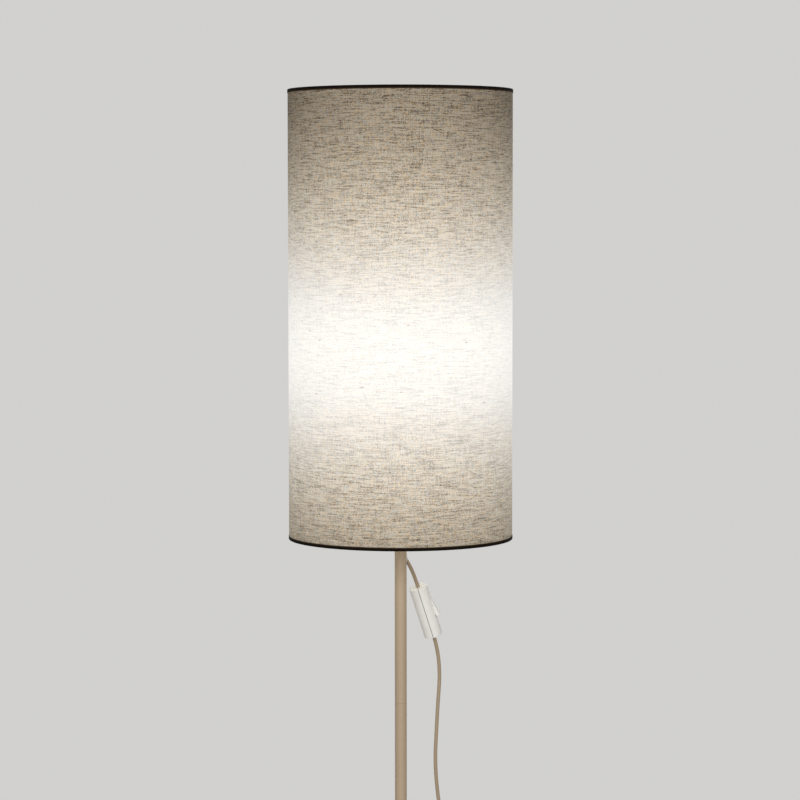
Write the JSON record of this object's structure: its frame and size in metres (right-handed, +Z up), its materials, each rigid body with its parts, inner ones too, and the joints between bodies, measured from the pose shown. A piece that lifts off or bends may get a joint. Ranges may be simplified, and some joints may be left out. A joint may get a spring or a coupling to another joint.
{
  "type": "column floor lamp",
  "caption": "Floor lamp with a tall drum linen shade on a slim jointed stem and round base, with a cord, an in-line rocker switch and a plug.",
  "frame": {"origin": "on the floor, at the centre of the round base", "axes": "+Z up along the stem, +X to the right and +Y away from the viewer in the picture's view"},
  "size_m": [0.3027, 0.3724, 1.5006],
  "materials": {
    "painted_sand": "matt powder coat, warm sand beige",
    "felt": "dark needled felt",
    "zinc_steel": "zinc-plated turned steel",
    "holder_plastic": "white heat-proof moulding",
    "porcelain": "glazed white porcelain",
    "brass": "plain brass",
    "wire_sleeve": "thin wire insulation",
    "bulb_shell": "rolled nickel-plated cap",
    "bulb_bead": "black glass",
    "bulb_collar": "white moulded collar",
    "bulb_opal": "opal glass",
    "linen": "undyed slubbed linen, plain weave",
    "lining": "white translucent laminate",
    "trim_tape": "dark brown folded tape",
    "frame_white": "white painted wire",
    "cord_sleeve": "sand-coloured round cord",
    "switch_white": "white moulded plastic, fine texture",
    "plug_white": "white moulded plastic",
    "pin_nickel": "nickel-plated brass",
    "tie_strap": "black hook-and-loop strap"
  },
  "bodies": {
    "lamp": {"base_pad": "felt", "base_plate": "painted_sand", "base_screw": "zinc_steel", "stem_lower_tube": "painted_sand", "stem_middle_tube": "painted_sand", "stem_upper_tube": "painted_sand", "foot_insert": "zinc_steel", "lower_joint_insert_below": "zinc_steel", "lower_joint_insert_above": "zinc_steel", "lower_joint_stud": "zinc_steel", "upper_joint_insert_below": "zinc_steel", "upper_joint_insert_above": "zinc_steel", "upper_joint_stud": "zinc_steel", "top_insert": "zinc_steel", "holder_nipple": "zinc_steel", "holder_cap": "holder_plastic", "holder_core": "porcelain", "holder_centre_contact": "brass", "holder_side_contact": "brass", "holder_skirt": "holder_plastic", "holder_wires": "wire_sleeve", "shade_lower_ring_nut": "holder_plastic", "shade_upper_ring_nut": "holder_plastic", "bulb_tip": "bulb_shell", "bulb_insulator": "bulb_bead", "bulb_screw_cap": "bulb_shell", "bulb_body": "bulb_collar", "bulb_globe": "bulb_opal", "shade_linen": "linen", "shade_lining": "lining", "shade_top_trim": "trim_tape", "shade_bottom_trim": "trim_tape", "shade_top_ring": "frame_white", "shade_bottom_ring": "frame_white", "shade_fitter_ring": "frame_white", "shade_arms": "frame_white", "cord_grommet": "switch_white", "cord_in_stem": "cord_sleeve", "cord_upper": "cord_sleeve", "switch_front_shell": "switch_white", "switch_back_shell": "switch_white", "switch_terminals": "brass", "switch_leaf": "brass", "cord_hanging": "cord_sleeve", "cord_coil": "cord_sleeve", "cord_tail": "cord_sleeve", "cord_tie": "tie_strap", "plug_relief": "plug_white", "plug_body": "plug_white", "plug_pins": "pin_nickel"},
    "rocker": {"switch_rocker": "switch_white"}
  },
  "joints": [
    {"name": "switch_rocker_tilt", "type": "hinge", "parent": "lamp", "child": "rocker", "pos_m": [0.04082, 0.03033, 0.80148], "axis": [-0.0059, 0.9614, 0.2752], "range_deg": [0, 24]}
  ]
}
